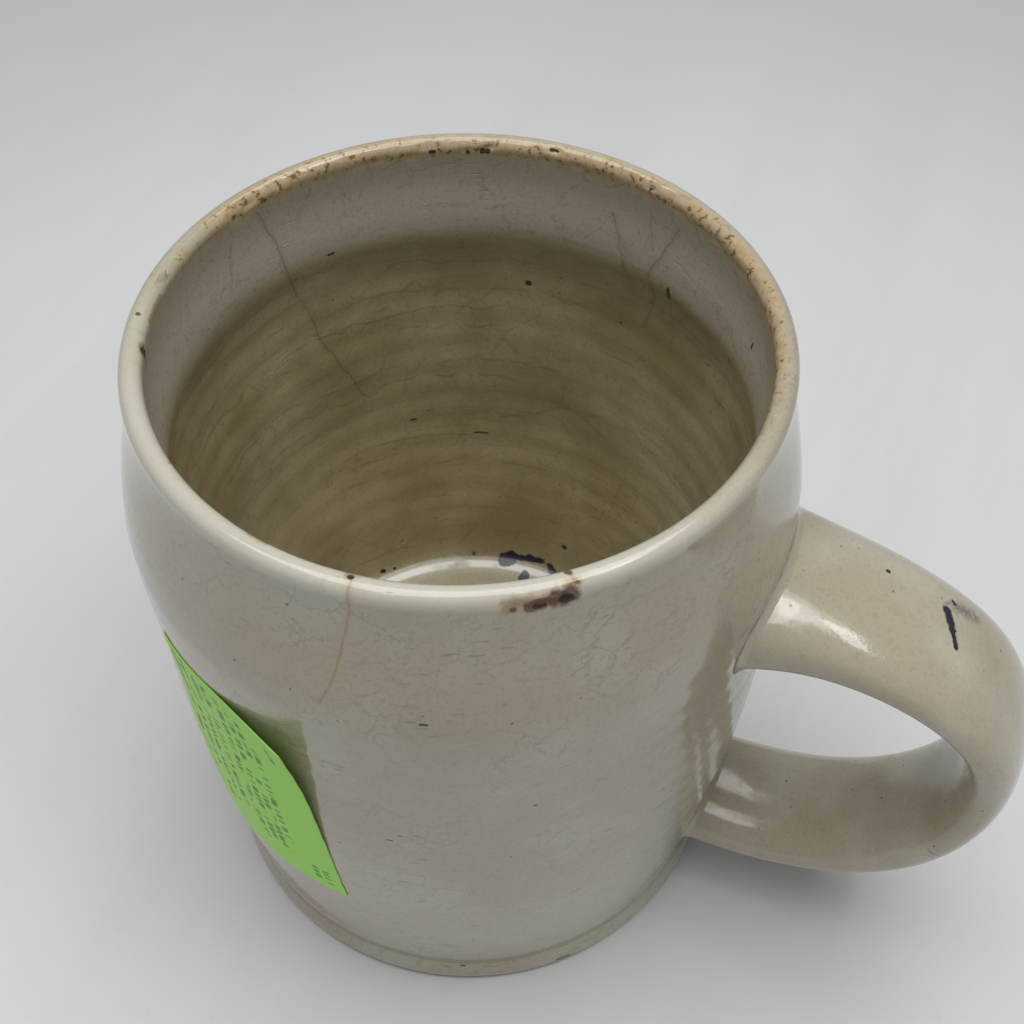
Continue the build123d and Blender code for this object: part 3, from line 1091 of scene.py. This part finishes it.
@dataclass
class StrapHandle:
    """Pulled strap: an ellipse carried along two curves that meet at the strap's furthest point."""

    body: MugBody
    reach: float
    reach_z: float = 50.9 * MM
    upper_root: tuple[float, float] = (41.2 * MM, 72.4 * MM)
    lower_root: tuple[float, float] = (38.0 * MM, 17.2 * MM)
    width: float = 21.2 * MM
    thickness: float = 7.4 * MM
    upper_flare: tuple[float, float] = (6.6 * MM, 9.4 * MM)
    lower_flare: tuple[float, float] = (-2.2 * MM, 3.6 * MM)
    upper_fade: float = 0.10
    lower_fade: float = 0.18
    squareness: float = 2.25
    rows: int = 220
    columns: int = 120

    def section(self, s: Array) -> tuple[Array, Array]:
        """Half width and half thickness at s: the strap's own, and a flare that dies away
        exponentially from each root."""
        upper, lower = np.exp(-s / self.upper_fade), np.exp(-(1 - s) / self.lower_fade)
        width = self.width + self.upper_flare[0] * upper + self.lower_flare[0] * lower
        thickness = self.thickness + self.upper_flare[1] * upper + self.lower_flare[1] * lower
        return width / 2, thickness / 2

    def middle_line(self) -> Array:
        """Middle of the strap in the XZ plane, from the upper root to the lower one."""
        (ux, uz), (lx, lz) = self.upper_root, self.lower_root
        half = self.rows // 2 + 1
        upper = bezier(((ux, uz), (ux + 18.9 * MM, uz + 2.5 * MM), (self.reach, self.reach_z + 16.4 * MM),
                        (self.reach, self.reach_z)), half)
        lower = bezier(((self.reach, self.reach_z), (self.reach, self.reach_z - 11.8 * MM),
                        (lx + 34.7 * MM, lz - 2.6 * MM), (lx, lz)), self.rows - half + 1)
        return np.vstack([upper, lower[1:]])

    def surface(self) -> Array:
        """Strap surface, rows along it and columns round it.

        Each point is the middle line plus its outward normal times the half thickness times
        cos(a), and +Y times the half width times sin(a), both raised to 2/squareness.

        Returns:
            Array of (rows, columns, 3).
        """
        line = self.middle_line()
        s = np.linspace(0, 1, len(line))
        along = np.gradient(line, axis=0)
        along /= np.linalg.norm(along, axis=1)[:, None]
        half_width, half_thickness = self.section(s)
        a = np.arange(self.columns) * 2 * pi / self.columns
        power = 2 / self.squareness
        thick = np.sign(np.cos(a)) * abs(np.cos(a)) ** power
        wide = np.sign(np.sin(a)) * abs(np.sin(a)) ** power
        lift = half_thickness[:, None] * thick
        x = line[:, 0][:, None] - along[:, 1][:, None] * lift
        z = line[:, 1][:, None] + along[:, 0][:, None] * lift
        y = half_width[:, None] * wide
        points = np.stack([x, y, z], -1)
        bend = LatticeNoise(5)
        free = (smoothstep(0.0, 0.12, s) * smoothstep(1.0, 0.88, s))[:, None, None]
        sway = np.stack([bend(points, 17 * MM), bend(points + 1.0, 17 * MM), bend(points + 2.0, 17 * MM)], -1)
        return points + sway * free * (0.16, 0.28, 0.16) * MM

    def root(self, lower: bool) -> tuple[Array, Array]:
        """Where the strap's surface comes out of the wall.

        Args:
            lower: the lower root instead of the upper one.

        Returns:
            The closed curve of places, and the strap's own direction there, away from the wall.
        """
        points = self.surface()
        if lower:
            points = points[::-1]
        points = points[: self.rows // 3]
        gap = np.hypot(points[..., 0], points[..., 1]) - self.body.wall_radius(points[..., 2])
        first = np.argmax(gap > 0, axis=0)
        column = np.arange(self.columns)
        t = (gap[first - 1, column] / (gap[first - 1, column] - gap[first, column]))[:, None]
        place = points[first - 1, column] * (1 - t) + points[first, column] * t
        ahead = points[np.minimum(first + 3, len(points) - 1), column] - points[first - 1, column]
        return place, ahead / np.linalg.norm(ahead, axis=1)[:, None]

    def slip_joint(self, lower: bool, spread: float = 1.15 * MM, climb: float = 1.3 * MM,
                   samples: int = 26) -> Grid:
        """Clay fillet round one root.

        Its face is a curve from the wall, spread away from the strap, to the strap, climb away
        from the wall, pulled towards the corner between them; it closes behind, inside the clay.

        Args:
            lower: the lower root instead of the upper one.
            spread: reach along the wall.
            climb: reach along the strap.
            samples: points across the fillet's section.

        Returns:
            The fillet's surface.
        """
        place, ahead = self.root(lower)
        centre = place.mean(0)
        outward = place - centre
        radial = place * (1.0, 1.0, 0.0)
        radial /= np.linalg.norm(radial, axis=1)[:, None]
        outward -= radial * (outward * radial).sum(1)[:, None]
        outward /= np.linalg.norm(outward, axis=1)[:, None]
        uneven = 1 + 0.22 * LatticeNoise(41)(place, 4 * MM)[:, None]
        on_wall = place + outward * spread * uneven
        reach = self.body.wall_radius(on_wall[:, 2]) - 0.05 * MM
        on_wall[:, :2] *= (reach / np.hypot(on_wall[:, 0], on_wall[:, 1]))[:, None]
        on_strap = place + ahead * climb * uneven - outward * 0.12 * MM
        corner = place + (outward + ahead) * 0.25 * MM
        t = np.linspace(0, 1, samples)[:, None, None]
        face = (1 - t) ** 2 * on_wall + 2 * t * (1 - t) * corner + t * t * on_strap
        buried = place - radial * 0.9 * MM - outward * 0.9 * MM
        ring = np.concatenate([face, buried[None]], 0).transpose(1, 0, 2)
        around = np.linspace(0, 1, self.columns + 1)
        across = np.concatenate([np.linspace(0, 1, samples), [1.4, 1.8]])
        uv = np.stack(np.broadcast_arrays(around[:, None], across[None, :]), -1)
        return Grid(ring, uv, wrap_rows=True)

    def build(self) -> None:
        """Makes and dresses the strap and its two slip joints."""
        points = self.surface()
        around = np.linspace(0, 1, self.columns + 1)
        uv = np.stack(np.broadcast_arrays(np.linspace(0, 1, self.rows)[:, None], around[None, :]), -1)
        strap = Grid(points, uv, caps=True).build("handle_strap_glazed")
        dress(strap, HandleGlaze().build(), "handle_glaze", "handle")
        slip = HandleGlaze().build("slip_glaze", dirt=0.8)
        for lower, name in ((False, "handle_upper_slip_joint"), (True, "handle_lower_slip_joint")):
            fillet = self.slip_joint(lower).build(name + "_glazed")
            dress(fillet, slip, "slip_glaze", name)


@dataclass
class PriceLabel:
    """Paper sheet on the wall, with its upper right corner lifting."""

    body: MugBody
    tall: float = 46.0 * MM
    wide: float = 25.0 * MM
    paper: float = 0.12 * MM
    glue: float = 0.05 * MM
    azimuth: float = -92.7
    z: float = 28.6 * MM
    tilt: float = 2.8
    lift: float = 2.8 * MM
    lift_start: float = 10.0 * MM
    lift_width: float = 15.0 * MM
    samples: int = 110

    def build(self) -> None:
        """Makes and dresses the sheet.

        A point `up` and `left` of the lower right corner lies on the wall, plus the glue, plus a
        lift that grows with the square of the height and fades with the square of the distance
        from the right edge.
        """
        up, left = np.meshgrid(np.linspace(0, self.tall, self.samples), np.linspace(0, self.wide, self.samples),
                               indexing="ij")
        tilt = radians(self.tilt)
        around = -up * sin(tilt) - left * cos(tilt)
        z = self.z + up * cos(tilt) - left * sin(tilt)
        rise = np.clip((up - self.lift_start) / (self.tall - self.lift_start), 0, 1) ** 2
        fade = np.clip(1 - left / self.lift_width, 0, 1) ** 2
        angle = radians(self.azimuth) + around / (self.body.belly_radius - self.body.waist_inset)
        wall = self.body.wall_radius(z)
        on_wall = np.stack([wall * np.cos(angle), wall * np.sin(angle), z], -1)
        radius = wall + self.body.sway(on_wall, angle) + self.glue + self.lift * rise * fade
        points = np.stack([radius * np.cos(angle), radius * np.sin(angle), z], -1)
        uv = np.stack([up, left], -1)
        sheet = Grid(points, uv, wrap_columns=False).build("price_label_paper")
        sheet.data.flip_normals()
        skin = sheet.modifiers.new("paper", "SOLIDIFY")
        skin.thickness, skin.offset = self.paper, 1.0
        dress(sheet, LabelPaper().build(self.wide), "label_paper", "price_label")


# ---- Floor, light and camera -----------------------------------------------------------------

@dataclass
class Softbox:
    """A soft rectangular light: where it hangs, where it points, its sides and its power."""

    name: str
    place: Colour
    target: Colour
    size: tuple[float, float]
    power: float
    colour: Colour = (1.0, 1.0, 1.0)

    def build(self) -> None:
        """Hangs the light."""
        light = bpy.data.lights.new(self.name, "AREA")
        light.shape, light.size, light.size_y = "RECTANGLE", *self.size
        light.energy, light.color = self.power, self.colour
        lamp = bpy.data.objects.new(self.name, light)
        lamp.location = self.place
        aim = Vector(self.target) - Vector(self.place)
        lamp.rotation_euler = aim.to_track_quat("-Z", "Y").to_euler()
        bpy.context.collection.objects.link(lamp)


@dataclass
class Studio:
    """Pale floor, soft boxes and the camera."""

    floor_tone: Colour = tone(216, 216, 216)
    floor_side: float = 6.0
    azimuth: float = 23.4
    distance: float = 0.12904
    camera_z: float = 0.22221
    pan: float = 2.94
    tilt: float = 49.94
    roll: float = -0.45
    lens: float = 49.17
    sensor: float = 36.0
    softboxes: tuple[Softbox, ...] = (
        Softbox("overhead", (-0.03, 0.03, 1.25), (0.0, 0.0, 0.05), (1.2, 1.0), 12.0),
        Softbox("near_tube", (0.435, -0.15, 1.20), (0.05, -0.15, 0.07), (0.75, 0.07), 1.2),
        Softbox("far_tube", (0.64, -0.03, 1.20), (0.05, -0.24, 0.07), (0.34, 0.09), 0.75),
    )

    def build(self) -> None:
        """Makes the floor, the world's light, the soft boxes and the camera."""
        self._floor()
        world = bpy.data.worlds.new("room")
        world.use_nodes = True
        sky = world.node_tree.nodes["Background"]
        sky.inputs["Color"].default_value = (0.93, 0.96, 1.0, 1.0)
        sky.inputs["Strength"].default_value = 0.25
        bpy.context.scene.world = world
        for softbox in self.softboxes:
            softbox.build()
        self._camera()
        bpy.context.scene.view_settings.view_transform = "Standard"

    def _floor(self) -> None:
        """Lays a flat sheet with faint streaks, and a painted pool of light: the sheet darkens away from the mug."""
        side = np.linspace(-self.floor_side / 2, self.floor_side / 2, 3)
        x, y = np.meshgrid(side, side, indexing="ij")
        floor = Grid(np.stack([x, y, 0 * x], -1), np.stack([x, y], -1), wrap_columns=False).build("floor")
        shader = Shader("floor")
        streak = shader.noise(0.09, 4.0, 0.6, stretch=(2.4, 0.35, 1.0))
        fleck = shader.noise(0.004, 3.0, 0.6)
        colour = shader.mix(streak.step(0.38, 0.64) * 0.5, self.floor_tone, tone(208, 208, 207))
        x, y, _ = shader.parts(shader.place)
        away = (x * x + y * y) ** 0.5
        # Painted light pool: the floor darkens with distance from the mug.
        colour = shader.mix(away.step(0.13, 0.34) * 0.80, colour, tone(184, 184, 187))
        colour = shader.mix(fleck.step(0.62, 0.74) * 0.10, colour, tone(186, 184, 180))
        floor.data.materials.append(shader.finish(Base_Color=colour, Roughness=0.55))

    def _camera(self) -> None:
        """Places the camera: out along its azimuth, up, then panned, tilted down and rolled."""
        turn = radians(self.azimuth)
        data = bpy.data.cameras.new("camera")
        data.lens, data.sensor_width, data.clip_start = self.lens, self.sensor, 0.01
        camera = bpy.data.objects.new("camera", data)
        heading = Matrix.Rotation(turn - radians(self.pan), 4, "Z")
        pitch = Matrix.Rotation(pi / 2 - radians(self.tilt), 4, "X")
        roll = Matrix.Rotation(-radians(self.roll), 4, "Z")
        place = Matrix.Translation((self.distance * sin(turn), -self.distance * cos(turn), self.camera_z))
        camera.matrix_world = place @ heading @ pitch @ roll
        bpy.context.collection.objects.link(camera)
        bpy.context.scene.camera = camera


def main() -> None:
    """Builds the mug piece by piece from the frame's own sizes, then the studio round it."""
    logging.basicConfig(level=logging.INFO, format="%(message)s")
    _, body_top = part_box("mug_body")
    body = MugBody(height=body_top.z, belly_radius=45.6 * MM)
    body.build()
    _, handle_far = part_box("handle")
    handle = StrapHandle(body, reach=handle_far.x - 3.84 * MM)
    handle.build()
    PriceLabel(body).build()
    Studio().build()


if __name__ == "__main__":
    main()
